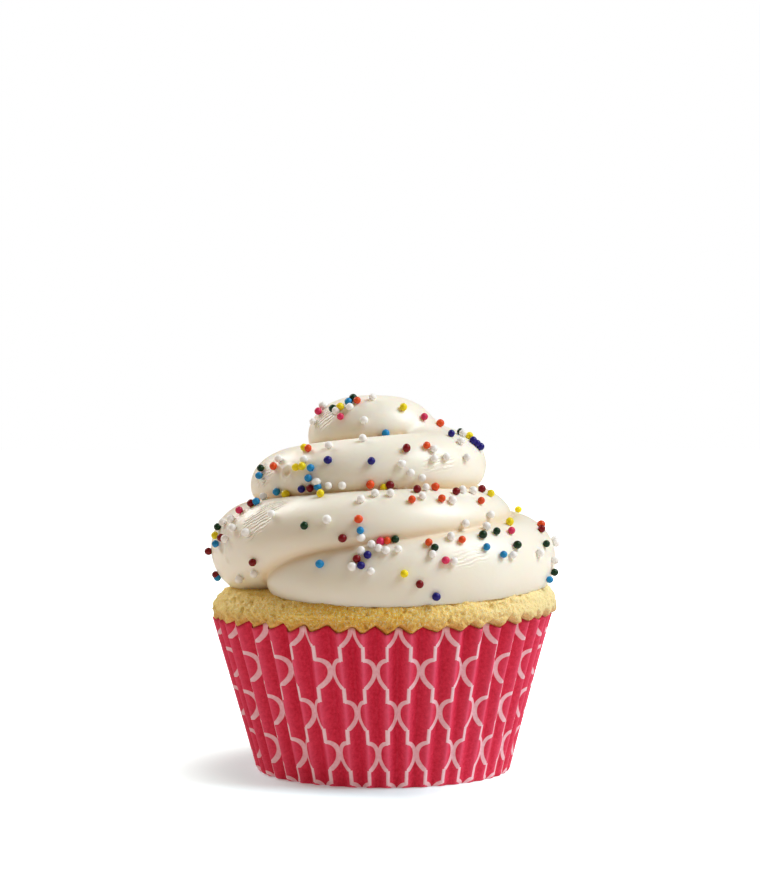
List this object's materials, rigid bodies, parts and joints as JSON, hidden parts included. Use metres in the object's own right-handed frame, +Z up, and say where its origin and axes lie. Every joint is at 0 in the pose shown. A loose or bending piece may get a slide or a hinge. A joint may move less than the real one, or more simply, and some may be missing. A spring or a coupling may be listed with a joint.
{
  "type": "cupcake",
  "caption": "Cupcake in a pleated printed paper case, with a tall piped swirl of white frosting and coloured sugar sprinkles.",
  "frame": {"origin": "middle of the flat base of the paper case, on the surface the cupcake stands on", "axes": "+Z up through the middle of the cake; -Y is the front, where the rope of frosting begins; +X is to the right seen from the front"},
  "size_m": [0.071, 0.0711, 0.0769],
  "materials": {
    "case_paper": "thin greaseproof baking paper, printed crimson with a pale pink trellis of fine lines, soft sheen on the pleats",
    "sponge": "golden yellow vanilla crumb with fine pores, a little browner at the edge of the paper",
    "frosting": "ivory white whipped frosting, smooth and slightly moist",
    "sprinkle_white": "small sugar ball, satin",
    "sprinkle_yellow": "small sugar ball, satin",
    "sprinkle_orange": "small sugar ball, satin",
    "sprinkle_red": "small sugar ball, satin",
    "sprinkle_pink": "small sugar ball, satin",
    "sprinkle_blue": "small sugar ball, satin",
    "sprinkle_indigo": "small sugar ball, satin",
    "sprinkle_green": "small sugar ball, satin"
  },
  "bodies": {
    "root": {"paper_case": "case_paper", "sponge": "sponge", "frosting": "frosting"}
  },
  "joints": []
}
